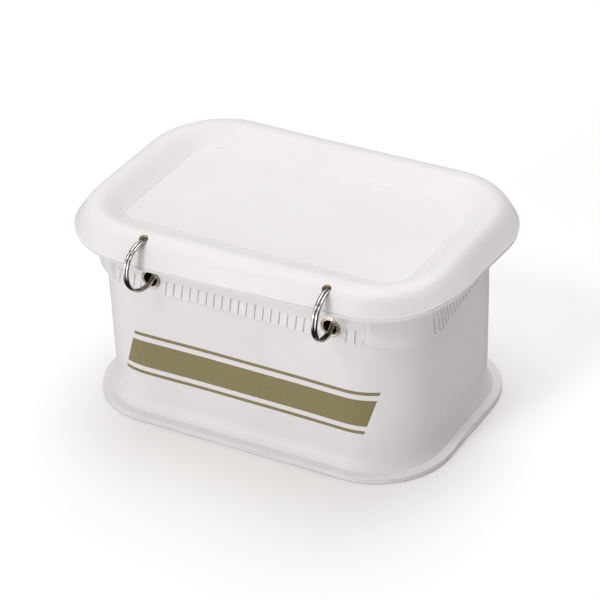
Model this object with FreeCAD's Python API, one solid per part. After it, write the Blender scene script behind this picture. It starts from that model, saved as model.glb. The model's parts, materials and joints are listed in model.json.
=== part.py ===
import FreeCAD, Part
import math
import os

os.makedirs("parts", exist_ok=True)
Vec = FreeCAD.Vector
origin = Vec(0, 0, 0)
up = Vec(0, 0, 1)
right = Vec(1, 0, 0)
back = Vec(0, 1, 0)

# A lidded bait box of welded soft sheet, in millimetres. Z is up and the hinge side faces -Y.
# The origin is the middle of the underside. The layers of the box share four corner centres, and
# each layer is described by its radius r from them. The lid has corner centres of its own.

# Box wall
box_length = 170.0        # over the wall at its foot, along X
box_width = 110.0         # the same along Y
box_corner_r = 31.0
wall_t = 1.8
wall_lean = 1.0           # how far the wall leans out on its way up
mouth_z = 91.0            # top of the mouth, where the lid sits
seam_gap = 0.05           # between welded layers

# Foot of the box
floor_t = 1.5
flange_t = 1.4
flange_reach = 7.5        # flange beyond the foot of the wall
weld_land = 4.4           # flat part of the flange
flare_h = 7.5             # height of the hollow curve from the flange to the wall

# Strip over the wall's joint, at the back
strip_w = 22.0
strip_t = 1.0
strip_end = 1.5           # how far it stops short of the flare and of the hem

# Hem folded over the mouth
hem_drop = 17.5           # mouth to the lower edge of the outer leg
hem_t = 1.85              # outer leg
hem_inner_t = 1.3         # inner leg
hem_inner_h = 5.5         # height of the inner leg
hem_cap_t = 1.4           # fold over the top
hem_edge = 0.5            # bevel along the lower edge
fold_outer_r = 1.6
fold_inner_r = 1.0
swell_t = 0.6             # how far the plain part above the ribs swells
swell_drop = 3.6          # mouth to the top of that swell
frame_h = 4.0             # stiffener loop inside the fold

# Weld ribs on the straight sides of the hem
rib_pitch = 4.5
rib_w = 3.7
rib_h = 6.8
rib_t = 0.5
rib_margin = 1.0          # ribs above the hem's lower edge
rib_root = 0.3            # how far a rib goes into the hem
rib_clear = 0.4           # rib to the eyelet's flange

# Puffy corners of the hem
corner_extra = 1.5        # how far they hang below the rest of the hem
corner_drop = 4.5         # mouth to their upper end
corner_t = 2.0            # thickness at the lower edge
corner_bulge = 4.1        # most that they stand off the wall
corner_inset_deg = {"long": 20.5, "short": 8.0}   # how far from each side they start on the arc

# Lid
lid_over_x = 15.0         # lid beyond the foot of the wall, along X
lid_over_y = 11.65        # the same along Y
lid_corner_r = 41.3
lid_h = 12.4              # mouth to crown
lid_skin = 2.2
liner_t = 1.3
lip_h = 0.9
lip_t = 0.5
dome_reach = 11.6         # lip to crown
rim_fall = 14.2           # crown to the edge of the sunk panel
panel_drop = 7.2          # crown to the sunk panel
panel_slope_deg = 33.0    # slope of the rim where it meets the panel
dome_ease_share = 0.5523
crown_ease_share = 0.42
slope_ease_share = 0.30
plug_depth = 4.5
plug_gap = 0.5            # plug to the mouth
fill_gap = 0.1            # foam to the sheets round it

# Split rings, and the holes that they pass through
ring_r = 12.0             # middle of the wire
ring_wire = 1.2
ring_turn_gap = 0.42      # between the two turns of wire
ring_step_deg = 34.0      # arc on which the wire steps from one turn to the other
ring_out = 4.8            # ring centre in front of the hem
ring_drop = 1.6           # ring centre below the mouth
ring_edge = 0.85          # washers to the start of the round corners, before the offset
ring_offset = 1.5         # both rings sit this far to the right of the middle
ring_twist_deg = {"left": 7.5, "right": -2.0}   # about the vertical
ring_roll_deg = {"left": 1.7, "right": -2.0}     # about the front to back line
ring_end_deg = {"left": 50.0, "right": 289.0}   # where the step starts, from the front upwards
hole_r = 3.3              # punched hole in the lid's skin
hole_shift = {"left": -0.8, "right": -0.1}       # hole off the ring's middle
passage_r = 4.6           # way through the foam and the liner

# Eyelets
eyelet_r = 5.4
eyelet_hole_r = 3.5
eyelet_wall = 0.3
eyelet_dome = 0.95
eyelet_rise = 0.7         # eyelet above the wire's own height there
curl_r = 4.5
curl_h = 0.5
washer_r = 4.9
washer_t = 0.4

overrun = 5.0             # how far cutting shapes run past what they cut

# Worked out from the sizes above
core_x = box_length / 2 - box_corner_r
core_y = box_width / 2 - box_corner_r
lid_core_x = box_length / 2 + lid_over_x - lid_corner_r
lid_core_y = box_width / 2 + lid_over_y - lid_corner_r
wall_r = box_corner_r + wall_lean
wall_in_r = wall_r - wall_t
flange_r = box_corner_r + flange_reach
flange_z = floor_t + flange_t
flare_z = flange_z + flare_h
hem_z = mouth_z - hem_drop
corner_z = hem_z - corner_extra
rib_z = hem_z + rib_margin
leg_in_r = wall_r + seam_gap
leg_r = leg_in_r + hem_t
inner_leg_r = wall_in_r - seam_gap
mouth_r = inner_leg_r - hem_inner_t
cap_z = mouth_z - hem_cap_t
frame_z = cap_z - seam_gap - frame_h
wall_top_z = frame_z - seam_gap
liner_z = mouth_z + liner_t
dome_z = liner_z + lip_h
crown_z = mouth_z + lid_h
dome_r = lid_corner_r - lip_t
crown_r = dome_r - dome_reach
panel_r = crown_r - rim_fall
panel_z = crown_z - panel_drop
plug_r = mouth_r - plug_gap
plug_z = mouth_z - plug_depth
hem_face_y = -core_y - leg_r
ring_y = hem_face_y - ring_out
ring_z = mouth_z - ring_drop
ring_half = core_x - washer_r - ring_edge
ring_x = {"left": ring_offset - ring_half, "right": ring_offset + ring_half}
barrel_r = eyelet_hole_r + eyelet_wall
grip = leg_r - wall_in_r
grip_y = hem_face_y + grip / 2
wire_out = grip_y - ring_y
wire_fall = math.sqrt(ring_r ** 2 - wire_out ** 2)
eyelet_z = ring_z - wire_fall + eyelet_rise
eyelet_x = {}
hole_x = {}
for side, x in ring_x.items():
    twist = math.tan(math.radians(ring_twist_deg[side]))
    roll = math.tan(math.radians(ring_roll_deg[side]))
    eyelet_x[side] = x + twist * wire_out + roll * wire_fall
    hole_x[side] = x + hole_shift[side]


def rz(r, z):
    return Vec(r, 0, z)


def line(a, b):
    return Part.LineSegment(a, b).toShape()


def arc(a, middle, b):
    return Part.Arc(a, middle, b).toShape()


def curve(*poles):
    bend = Part.BezierCurve()
    bend.setPoles(list(poles))
    return bend.toShape()


def polyline(points):
    return [line(a, b) for a, b in zip(points, points[1:])]


def section(edges):
    return Part.Face(Part.Wire(Part.__sortEdges__(edges)))


def one_solid(shape):
    return shape.removeSplitter().Solids[0]


def quarter_arc(centre, radius, start_deg):
    # round edge in the section's plane, a quarter turn on from start_deg
    points = []
    for step in (0, 45, 90):
        angle = math.radians(start_deg + step)
        points.append(centre + rz(radius * math.cos(angle), radius * math.sin(angle)))
    return arc(*points)


def round_the_box(face, half_x, half_y):
    # carries a section in r and z all the way round the corner centres at half_x, half_y
    runs = (
        (Vec(half_x, -half_y, 0), Vec(0, 2 * half_y, 0)),
        (Vec(half_x, half_y, 0), Vec(-2 * half_x, 0, 0)),
        (Vec(-half_x, half_y, 0), Vec(0, -2 * half_y, 0)),
        (Vec(-half_x, -half_y, 0), Vec(2 * half_x, 0, 0)),
    )
    pieces = []
    for turn, (start, run) in enumerate(runs):
        turned = face.copy()
        turned.rotate(origin, up, 90 * turn)
        side = turned.translated(start).extrude(run)
        corner = turned.revolve(origin, up, 90).translated(start + run)
        pieces += [side, corner]
    return one_solid(pieces[0].multiFuse(pieces[1:]))


def sheet(half_x, half_y, r, low, high):
    # flat sheet with round corners
    edges = []
    for turn, (sx, sy) in enumerate(((1, 1), (-1, 1), (-1, -1), (1, -1))):
        centre = Vec(sx * half_x, sy * half_y, low)
        points = []
        for step in (0, 45, 90):
            angle = math.radians(90 * turn + step)
            points.append(centre + Vec(r * math.cos(angle), r * math.sin(angle), 0))
        edges.append(arc(*points))
    corners = list(edges)
    for first, second in zip(corners, corners[1:] + corners[:1]):
        edges.append(line(first.lastVertex().Point, second.firstVertex().Point))
    return section(edges).extrude(Vec(0, 0, high - low))


def make_wall():
    run = flange_reach - weld_land
    flare_r = (run ** 2 + flare_h ** 2) / (2 * run)
    centre = rz(box_corner_r + flare_r, flare_z)

    def on_flare(radius, drop):
        return centre + rz(-math.sqrt(radius ** 2 - drop ** 2), -drop)

    back_r = flare_r + wall_t
    back_h = flare_z - floor_t
    land = on_flare(flare_r, flare_h)
    heel = on_flare(back_r, back_h)
    top_out = on_flare(flare_r, 0)
    top_in = on_flare(back_r, 0)
    edges = [arc(land, on_flare(flare_r, flare_h / 2), top_out)]
    edges += polyline([
        top_out, rz(wall_r, corner_z), rz(wall_r, wall_top_z),
        rz(wall_in_r, wall_top_z), rz(wall_in_r, corner_z), top_in,
    ])
    edges.append(arc(top_in, on_flare(back_r, back_h / 2), heel))
    edges += polyline([heel, rz(flange_r, floor_t), rz(flange_r, flange_z), land])
    return round_the_box(section(edges), core_x, core_y)


def make_strip():
    # follows the lean of the wall at the back
    low = flare_z + strip_end
    high = corner_z - strip_end
    lean = wall_lean / (corner_z - flare_z)
    low_r = box_corner_r + seam_gap + lean * (low - flare_z)
    high_r = box_corner_r + seam_gap + lean * (high - flare_z)
    points = [rz(low_r, low), rz(low_r + strip_t, low), rz(high_r + strip_t, high), rz(high_r, high)]
    face = section(polyline(points + points[:1]))
    face.rotate(origin, up, 90)
    return face.translated(Vec(strip_w / 2, core_y, 0)).extrude(Vec(-strip_w, 0, 0))


def hem_section():
    swell_low = rib_z + rib_h
    swell_high = mouth_z - swell_drop
    swell_mid = rz(leg_r + swell_t, (swell_low + swell_high) / 2)
    outer_fold = rz(leg_r - fold_outer_r, mouth_z - fold_outer_r)
    inner_fold = rz(mouth_r + fold_inner_r, mouth_z - fold_inner_r)
    inner_z = mouth_z - hem_inner_h
    edges = polyline([
        rz(mouth_r, mouth_z - fold_inner_r), rz(mouth_r, inner_z), rz(inner_leg_r, inner_z),
        rz(inner_leg_r, cap_z), rz(leg_in_r, cap_z), rz(leg_in_r, hem_z), rz(leg_r - hem_edge, hem_z),
        rz(leg_r, hem_z + hem_edge), rz(leg_r, swell_low),
    ])
    edges.append(arc(rz(leg_r, swell_low), swell_mid, rz(leg_r, swell_high)))
    edges.append(line(rz(leg_r, swell_high), rz(leg_r, mouth_z - fold_outer_r)))
    edges.append(quarter_arc(outer_fold, fold_outer_r, 0))
    edges.append(line(rz(leg_r - fold_outer_r, mouth_z), rz(mouth_r + fold_inner_r, mouth_z)))
    edges.append(quarter_arc(inner_fold, fold_inner_r, 90))
    return section(edges)


def corner_puffs():
    top_z = mouth_z - corner_drop
    lower = rz(leg_in_r + corner_t, corner_z)
    middle = rz(wall_r + corner_bulge, (corner_z + top_z) / 2)
    upper = rz(leg_r, top_z)
    edges = [arc(lower, middle, upper)]
    edges += polyline([upper, rz(leg_in_r, top_z), rz(leg_in_r, corner_z), lower])
    face = section(edges)
    insets = ("short", "long", "short", "long", "short")
    turn_deg = 90 - sum(corner_inset_deg.values())
    puffs = []
    for turn, (sx, sy) in enumerate(((1, 1), (-1, 1), (-1, -1), (1, -1))):
        puff = face.copy()
        puff.rotate(origin, up, 90 * turn + corner_inset_deg[insets[turn]])
        puff = puff.revolve(origin, up, turn_deg)
        puffs.append(puff.translated(Vec(sx * core_x, sy * core_y, 0)))
    return puffs


def side_ribs():
    # rib at the middle of a side, then its copies along the side and round its ends up to the puffs
    rib = Part.makeBox(rib_t + rib_root, rib_w, rib_h, Vec(leg_r - rib_root, -rib_w / 2, rib_z))
    short_side = (core_x, core_y, "short")
    long_side = (core_y, core_x, "long")
    ribs = []
    for turn, (out, half, side) in enumerate((short_side, long_side, short_side, long_side)):
        reach = half + leg_r * math.radians(corner_inset_deg[side])
        count = int((reach - rib_w / 2) / rib_pitch)
        for place in range(-count, count + 1):
            along = place * rib_pitch
            straight = max(-half, min(half, along))
            copy = rib.copy()
            copy.rotate(origin, up, math.degrees((along - straight) / leg_r))
            copy = copy.translated(Vec(out, straight, 0))
            copy.rotate(origin, up, 90 * turn)
            ribs.append(copy)
    return [rib for rib in ribs if not meets_eyelet(rib)]


def meets_eyelet(rib):
    room = eyelet_r + rib_clear + rib_w / 2
    middle = rib.CenterOfMass
    return middle.y < -core_y and any(abs(middle.x - x) < room for x in eyelet_x.values())


def eyelet_bore(side):
    # hole for the barrel, and the flat that the flange presses into the hem
    front = Vec(eyelet_x[side], hem_face_y - overrun, eyelet_z)
    bore = Part.makeCylinder(barrel_r + seam_gap, grip + 2 * overrun, front, back)
    return bore.fuse(Part.makeCylinder(eyelet_r + rib_clear, overrun, front, back))


def face_out(shape, side):
    # stands a turned piece on the hem at an eyelet, its own Z pointing out of the box
    shape.rotate(origin, right, 90)
    return shape.translated(Vec(eyelet_x[side], hem_face_y, eyelet_z))


def make_eyelet(side):
    inner = -grip - washer_t
    flange_mid = rz((eyelet_hole_r + eyelet_r) / 2, eyelet_dome)
    curl_mid = rz((eyelet_hole_r + curl_r) / 2, inner - curl_h)
    edges = [
        arc(rz(eyelet_hole_r, 0), flange_mid, rz(eyelet_r, 0)),
        arc(rz(curl_r, inner), curl_mid, rz(eyelet_hole_r, inner)),
        line(rz(eyelet_hole_r, inner), rz(eyelet_hole_r, 0)),
    ]
    edges += polyline([rz(eyelet_r, 0), rz(barrel_r, 0), rz(barrel_r, inner), rz(curl_r, inner)])
    return face_out(section(edges).revolve(origin, up, 360), side)


def make_washer(side):
    base = rz(0, -grip - washer_t)
    disc = Part.makeCylinder(washer_r, washer_t, base)
    return face_out(disc.cut(Part.makeCylinder(barrel_r + seam_gap, washer_t, base)), side)


def rim_top(depth):
    # the lid's rim from its lip over the crown to the panel, depth below the outer surface
    slope = math.tan(math.radians(panel_slope_deg))
    crease_r = panel_r + depth * math.tan(math.radians(panel_slope_deg / 2))
    dome_w = dome_reach - depth
    dome_h = crown_z - dome_z - depth
    foot = rz(dome_r - depth, dome_z)
    crown = rz(crown_r, crown_z - depth)
    crease = rz(crease_r, panel_z - depth)
    fall = crown_r - crease_r
    foot_ease = rz(0, dome_ease_share * dome_h)
    dome_ease = rz(dome_ease_share * dome_w, 0)
    crown_ease = rz(-crown_ease_share * fall, 0)
    slope_ease = rz(slope_ease_share * fall, slope_ease_share * fall * slope)
    dome = curve(foot, foot + foot_ease, crown + dome_ease, crown)
    inner = curve(crown, crown + crown_ease, crease + slope_ease, crease)
    return [dome, inner], foot, crease


def ring_height(y):
    return ring_z + math.sqrt(ring_r ** 2 - (y - ring_y) ** 2)


def lid_hole(side):
    # round hole square to the dome, where the ring crosses the middle of the skin
    (dome, inner), foot, crease = rim_top(lid_skin / 2)
    low, high = dome.FirstParameter, dome.LastParameter
    for halving in range(40):
        middle = (low + high) / 2
        point = dome.valueAt(middle)
        if point.z < ring_height(-lid_core_y - point.x):
            low = middle
        else:
            high = middle
    point = dome.valueAt(middle)
    along = dome.tangentAt(middle)
    out = Vec(0, -along.z, -along.x)
    if out.z < 0:
        out = -out
    place = Vec(hole_x[side], -lid_core_y - point.x, point.z)
    return Part.makeCylinder(hole_r, 2 * overrun, place - out * overrun, out)


def ring_passage(side):
    return Part.makeTorus(ring_r, passage_r, Vec(hole_x[side], ring_y, ring_z), right)


def make_cover():
    top, foot, crease = rim_top(0)
    under, under_foot, under_crease = rim_top(lid_skin)
    edges = top + under
    edges += polyline([crease, rz(panel_r, panel_z - lid_skin), under_crease])
    edges += polyline([
        under_foot, rz(under_foot.x, liner_z), rz(lid_corner_r, liner_z), rz(lid_corner_r, dome_z), foot,
    ])
    rim = round_the_box(section(edges), lid_core_x, lid_core_y)
    panel = sheet(lid_core_x, lid_core_y, panel_r, panel_z - lid_skin, panel_z)
    return one_solid(rim.fuse(panel).cut(lid_hole("left")).cut(lid_hole("right")))


def make_liner():
    brim = sheet(lid_core_x, lid_core_y, lid_corner_r, mouth_z, liner_z)
    plug = sheet(core_x, core_y, plug_r, plug_z, liner_z)
    hollow = sheet(core_x, core_y, plug_r - liner_t, plug_z + liner_t, liner_z + overrun)
    liner = brim.fuse(plug).cut(hollow)
    return one_solid(liner.cut(ring_passage("left")).cut(ring_passage("right")))


def make_core():
    base_z = liner_z + fill_gap
    top, foot, crease = rim_top(lid_skin + fill_gap)
    edges = top + polyline([crease, rz(crease.x, base_z), rz(foot.x, base_z), foot])
    rim = round_the_box(section(edges), lid_core_x, lid_core_y)
    slab = sheet(lid_core_x, lid_core_y, crease.x, base_z, crease.z)
    fill = sheet(core_x, core_y, plug_r - liner_t - fill_gap, plug_z + liner_t + fill_gap, base_z)
    core = rim.fuse(slab).fuse(fill)
    return one_solid(core.cut(ring_passage("left")).cut(ring_passage("right")))


def ring_point(angle_deg, x):
    # on the ring, counted from its front upwards
    angle = math.radians(angle_deg)
    return Vec(x, -ring_r * math.cos(angle), ring_r * math.sin(angle))


def ring_heading(angle_deg):
    angle = math.radians(angle_deg)
    return Vec(0, math.sin(angle), math.cos(angle))


def arc_from(start, heading, end):
    # arc that leaves start along heading and ends at end
    chord = end - start
    along = Vec(chord).normalize()
    across = (heading - along * heading.dot(along)).normalize()
    bulge = chord.Length / 2 * math.tan(heading.getAngle(chord) / 2)
    return arc(start, start + chord / 2 + across * bulge, end)


def ring_step(first, first_heading, last, last_heading):
    # two arcs that carry the wire from one turn to the other with no kink
    gap = last - first
    both = first_heading + last_heading
    spread = 2 * (1 - first_heading.dot(last_heading))
    reach = math.sqrt(gap.dot(both) ** 2 + spread * gap.dot(gap)) - gap.dot(both)
    reach = reach / spread
    middle = (first + first_heading * reach + last - last_heading * reach) / 2
    return [arc_from(first, first_heading, middle), arc_from(last, -last_heading, middle)]


def ring_route(start_deg):
    half = (ring_wire + ring_turn_gap) / 2
    step_end = start_deg + ring_step_deg
    quarter = (360 - ring_step_deg) / 4

    def flat_turn(x):
        angles = [step_end + quarter * count for count in range(5)]
        return [
            arc(ring_point(a, x), ring_point((a + b) / 2, x), ring_point(b, x))
            for a, b in zip(angles, angles[1:])
        ]

    step = ring_step(
        ring_point(start_deg, -half), ring_heading(start_deg), ring_point(step_end, half), ring_heading(step_end)
    )
    return flat_turn(-half) + step + flat_turn(half)


def least_gap(edges):
    # nearest that the wire comes to itself, on points along it
    points = []
    for edge in edges:
        points += edge.discretize(24)[1:]
    along = [0]
    for a, b in zip(points, points[1:]):
        along.append(along[-1] + (b - a).Length)
    nearest = min(
        (a - b).Length
        for i, a in enumerate(points)
        for j, b in enumerate(points[:i])
        if along[i] - along[j] > ring_r
    )
    return nearest - ring_wire


def make_ring(side):
    edges = ring_route(ring_end_deg[side])
    route = Part.Wire(Part.__sortEdges__(edges))
    start = route.OrderedVertexes[0].Point
    first = route.OrderedEdges[0]
    heading = first.tangentAt(first.FirstParameter)
    profile = Part.Wire(Part.makeCircle(ring_wire / 2, start, heading))
    pipe = Part.BRepOffsetAPI.MakePipeShell(route)
    pipe.add(profile)
    pipe.build()
    pipe.makeSolid()
    ring = pipe.shape().Solids[0]
    ideal = math.pi * ring_wire ** 2 / 4 * route.Length
    print("ring", side, "gap", round(least_gap(edges), 3), "volume share", round(ring.Volume / ideal, 4))
    ring.rotate(origin, back, -ring_roll_deg[side])
    ring.rotate(origin, up, -ring_twist_deg[side])
    return ring.translated(Vec(ring_x[side], ring_y, ring_z))


sides = ("left", "right")
bores = [eyelet_bore(side) for side in sides]
hem = round_the_box(hem_section(), core_x, core_y)
hem = one_solid(hem.multiFuse(corner_puffs() + side_ribs()))
frame_face = section(polyline([
    rz(wall_in_r, frame_z), rz(wall_r, frame_z), rz(wall_r, frame_z + frame_h),
    rz(wall_in_r, frame_z + frame_h), rz(wall_in_r, frame_z),
]))

nodes = {
    "floor_sheet": sheet(core_x, core_y, flange_r, 0, floor_t),
    "wall_sheet": make_wall().cut(bores[0]).cut(bores[1]),
    "rear_seam_strip": make_strip(),
    "rim_hem": hem.cut(bores[0]).cut(bores[1]),
    "mouth_frame": round_the_box(frame_face, core_x, core_y),
    "lid_cover": make_cover(),
    "lid_liner": make_liner(),
    "lid_core": make_core(),
}
for side in sides:
    nodes["eyelet_" + side] = make_eyelet(side)
    nodes["washer_" + side] = make_washer(side)
    nodes["ring_" + side] = make_ring(side)

for name, shape in nodes.items():
    shape.exportStep("parts/" + name + ".step")
    print(name, len(shape.Solids), shape.isValid(), round(shape.Volume))
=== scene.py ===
import json
import math

import bmesh
import bpy
import numpy as np
from mathutils import Matrix, Vector


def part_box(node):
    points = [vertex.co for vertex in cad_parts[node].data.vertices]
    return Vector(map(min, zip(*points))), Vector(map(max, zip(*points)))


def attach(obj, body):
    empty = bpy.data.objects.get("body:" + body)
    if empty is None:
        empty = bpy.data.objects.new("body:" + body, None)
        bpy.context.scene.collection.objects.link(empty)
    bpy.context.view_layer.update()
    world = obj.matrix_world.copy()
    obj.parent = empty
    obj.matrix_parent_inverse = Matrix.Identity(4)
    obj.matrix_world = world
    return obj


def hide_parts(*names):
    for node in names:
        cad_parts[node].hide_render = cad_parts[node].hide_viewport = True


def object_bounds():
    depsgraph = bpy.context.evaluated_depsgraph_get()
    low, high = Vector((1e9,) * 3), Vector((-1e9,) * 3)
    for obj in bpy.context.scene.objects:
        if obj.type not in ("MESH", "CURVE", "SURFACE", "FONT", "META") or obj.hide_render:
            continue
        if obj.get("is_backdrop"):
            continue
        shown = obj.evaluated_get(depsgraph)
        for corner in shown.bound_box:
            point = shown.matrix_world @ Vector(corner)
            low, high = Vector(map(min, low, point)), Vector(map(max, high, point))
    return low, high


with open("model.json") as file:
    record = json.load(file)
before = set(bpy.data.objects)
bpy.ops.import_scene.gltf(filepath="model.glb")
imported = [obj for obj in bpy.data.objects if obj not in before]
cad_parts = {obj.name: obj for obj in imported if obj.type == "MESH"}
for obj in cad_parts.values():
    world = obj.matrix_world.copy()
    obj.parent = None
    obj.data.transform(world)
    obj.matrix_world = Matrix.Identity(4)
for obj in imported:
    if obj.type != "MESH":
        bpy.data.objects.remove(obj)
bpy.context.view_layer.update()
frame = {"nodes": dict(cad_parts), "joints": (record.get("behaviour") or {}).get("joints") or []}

# A soft white bait box with a foam-filled lid on two split rings. Metres, Z up, rings towards -Y.
joints = {joint["name"]: joint for joint in frame["joints"]}
print("frame loaded:", len(frame["nodes"]), "nodes")


# Shader maths: a socket that can be added, multiplied and compared
class Flow:
    def __init__(self, socket):
        self.socket = socket

    def calc(self, operation, *values):
        return self.node("ShaderNodeMath", {"operation": operation}, dict(enumerate(values)))[0]

    def node(self, kind, settings, sockets):
        return addNode(self.socket.id_data, kind, settings, sockets)

    def __add__(self, other):
        return self.calc("ADD", self, other)

    def __radd__(self, other):
        return self.calc("ADD", other, self)

    def __sub__(self, other):
        return self.calc("SUBTRACT", self, other)

    def __rsub__(self, other):
        return self.calc("SUBTRACT", other, self)

    def __mul__(self, other):
        return self.calc("MULTIPLY", self, other)

    def __rmul__(self, other):
        return self.calc("MULTIPLY", other, self)

    def __lt__(self, other):
        return self.calc("LESS_THAN", self, other)

    def __gt__(self, other):
        return self.calc("GREATER_THAN", self, other)

    def __abs__(self):
        return self.calc("ABSOLUTE", self)

    def ramp(self, low, high):
        # 0 at low, 1 at high, eased between
        sockets = {"Value": self, "From Min": low, "From Max": high}
        return self.node("ShaderNodeMapRange", {"interpolation_type": "SMOOTHSTEP"}, sockets)[0]

    def axes(self):
        return self.node("ShaderNodeSeparateXYZ", {}, {0: self})


def plug(value, slot):
    if isinstance(value, Flow):
        slot.id_data.links.new(value.socket, slot)
    else:
        slot.default_value = value


def addNode(tree, kind, settings, sockets):
    # settings first, then the sockets by name or number; gives the outputs
    made = tree.nodes.new(kind)
    for name, value in settings.items():
        setattr(made, name, value)
    for name, value in sockets.items():
        plug(value, made.inputs[name])
    return [Flow(output) for output in made.outputs]


# A material with its principled shader
class Finish:
    def __init__(self, name, constants):
        self.material = bpy.data.materials.new(name)
        self.material.use_nodes = True
        self.tree = self.material.node_tree
        self.shader = self.tree.nodes["Principled BSDF"]
        for socket, value in constants.items():
            self.shader.inputs[socket].default_value = value
        self.place = addNode(self.tree, "ShaderNodeTexCoord", {}, {})[3]   # object coordinates

    def noise(self, scale, detail=2.0):
        sockets = {"Vector": self.place, "Scale": scale, "Detail": detail}
        return addNode(self.tree, "ShaderNodeTexNoise", {}, sockets)[0]

    def patches(self, look):
        # cloudy patches, 0 to 1
        return self.noise(look["scale"], look["detail"]).ramp(*look["range"])

    def cells(self, scale):
        sockets = {"Vector": self.place, "Scale": scale}
        return addNode(self.tree, "ShaderNodeTexVoronoi", {"feature": "F1"}, sockets)[0]

    def blend(self, factor, first, second):
        sockets = {0: factor, 6: first, 7: second}
        return addNode(self.tree, "ShaderNodeMix", {"data_type": "RGBA"}, sockets)[2]

    def bump(self, height, strength, distance):
        sockets = {"Height": height, "Strength": strength, "Distance": distance}
        return addNode(self.tree, "ShaderNodeBump", {}, sockets)[0]

    def feed(self, **sockets):
        for name, value in sockets.items():
            plug(value, self.shader.inputs[name.replace("_", " ")])
        return self.material


# White sheet: faintly mottled, a few specks, fine grain
sheetLook = {
    "base": (0.79, 0.772, 0.784, 1),
    "shade": (0.735, 0.713, 0.722, 1),
    "shine": 0.42,
    "rough": 0.42,
    "mottle": {"scale": 26.0, "detail": 4.0, "range": (0.35, 0.75), "share": 0.5, "rough": 0.12},
    "speck": (0.42, 0.4, 0.38, 1),
    "specks": {"scale": 210.0, "size": 0.06, "share": 0.4},
    "speckPatches": {"scale": 90.0, "detail": 1.0, "from": 0.6},
    "grain": {"scale": 1500.0, "detail": 3.0, "height": 0.16, "rough": 0.1},
    "lumps": {"scale": 70.0, "height": 0.6},
    "bump": {"strength": 0.22, "distance": 0.0006},
    "cutEdgeFoamShade": (0.8, 0.66, 0.5, 1),   # round the lid's holes: the foam's warm tone, darkened by painted shade inside the hole
    "cutReach": 0.00258,
}

# Plain olive stripes on the front of the wall, with slanted ends
stripeLook = {
    "ink": (0.235, 0.198, 0.088, 1),
    "inkWorn": (0.3, 0.262, 0.14, 1),
    "worn": {"scale": 900.0, "detail": 4.0, "range": (0.52, 0.75), "share": 0.6},
    "heights": ((0.0446, 0.0464), (0.0272, 0.0418), (0.0228, 0.0246)),
    "slantFrom": 0.0272,
    "slant": 0.32,
    "halfLength": 0.0645,
    "waver": {"scale": 2200.0, "detail": 3.0, "reach": 0.0005},
    "blur": 0.0001,
    "frontY": -0.05,
    "rough": 0.12,
    "height": 0.25,
}


def stripeMask(finish):
    x, y, z = finish.place.axes()
    waver, blur = stripeLook["waver"], stripeLook["blur"]
    rough = (finish.noise(waver["scale"], waver["detail"]) - 0.5) * waver["reach"]

    def within(value, half):
        return 1 - abs(value).ramp(half - blur, half + blur)

    ends = within(x - (z - stripeLook["slantFrom"]) * stripeLook["slant"] + rough, stripeLook["halfLength"])
    height = z + rough
    bands = 0
    for low, high in stripeLook["heights"]:
        bands = bands + within(height - (low + high) / 2, (high - low) / 2)
    return bands * ends * (y < stripeLook["frontY"])


def whiteSheet(name, striped=False, holes=()):
    finish = Finish(name, {"Specular IOR Level": sheetLook["shine"]})
    patch, grain, lumps = sheetLook["mottle"], sheetLook["grain"], sheetLook["lumps"]
    dots, spread = sheetLook["specks"], sheetLook["speckPatches"]
    mottle = finish.patches(patch)
    here = finish.noise(spread["scale"], spread["detail"]) > spread["from"]
    specks = (finish.cells(dots["scale"]) < dots["size"]) * here
    colour = finish.blend(mottle * patch["share"], sheetLook["base"], sheetLook["shade"])
    colour = finish.blend(specks * dots["share"], colour, sheetLook["speck"])
    fine = finish.noise(grain["scale"], grain["detail"])
    rough = sheetLook["rough"] + mottle * patch["rough"] + (fine - 0.5) * grain["rough"]
    height = finish.noise(lumps["scale"]) * lumps["height"] + fine * grain["height"]
    if striped:
        mask = stripeMask(finish)
        worn = finish.patches(stripeLook["worn"]) * stripeLook["worn"]["share"]
        colour = finish.blend(mask, colour, finish.blend(worn, stripeLook["ink"], stripeLook["inkWorn"]))
        rough = rough + mask * stripeLook["rough"]
        height = height + mask * stripeLook["height"]
    # the cut walls of the lid's holes: the foam's warm tone there, and painted shade inside the hole
    for spot in holes:
        sockets = {0: finish.place, 1: spot}
        reach = addNode(finish.tree, "ShaderNodeVectorMath", {"operation": "DISTANCE"}, sockets)[1]
        colour = finish.blend(reach < sheetLook["cutReach"], colour, sheetLook["cutEdgeFoamShade"])
    normal = finish.bump(height, **sheetLook["bump"])
    return finish.feed(Base_Color=colour, Roughness=rough, Normal=normal)


# Bright metal of the rings and the eyelets
metalLook = {
    "steel": {"bright": (0.58, 0.565, 0.545, 1), "dull": (0.4, 0.38, 0.355, 1), "rough": 0.1},
    "nickel": {"bright": (0.8, 0.73, 0.62, 1), "dull": (0.56, 0.47, 0.34, 1), "rough": 0.24},
    "edge": (0.08, 0.08, 0.085, 1),
    "cloud": {"scale": 420.0, "detail": 4.0, "range": (0.4, 0.75), "share": 0.55, "rough": 0.1},
    "scratch": {"scale": 5200.0, "rough": 0.06},
    "bump": {"strength": 0.06, "distance": 0.0001},
}


def brightMetal(name, kind):
    finish = Finish(name, {"Metallic": 1.0, "Specular Tint": metalLook["edge"]})
    metal, patch, marks = metalLook[kind], metalLook["cloud"], metalLook["scratch"]
    cloud = finish.patches(patch)
    scratch = finish.noise(marks["scale"])
    colour = finish.blend(cloud * patch["share"], metal["bright"], metal["dull"])
    rough = metal["rough"] + cloud * patch["rough"] + (scratch - 0.5) * marks["rough"]
    normal = finish.bump(scratch, **metalLook["bump"])
    return finish.feed(Base_Color=colour, Roughness=rough, Normal=normal)


# Foam inside the lid, with painted shade in the hollows of its pores
foamLook = {
    "base": (0.86, 0.76, 0.6, 1),
    # the colour in the pores: a painted shade in their hollows
    "pore": (0.7, 0.58, 0.42, 1),
    "shine": 0.2,
    "pores": {"scale": 1100.0, "range": (0.1, 0.5), "share": 0.7},
    "rough": {"base": 0.8, "pore": 0.1},
    "bump": {"strength": 0.5, "distance": 0.0005},
}


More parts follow.
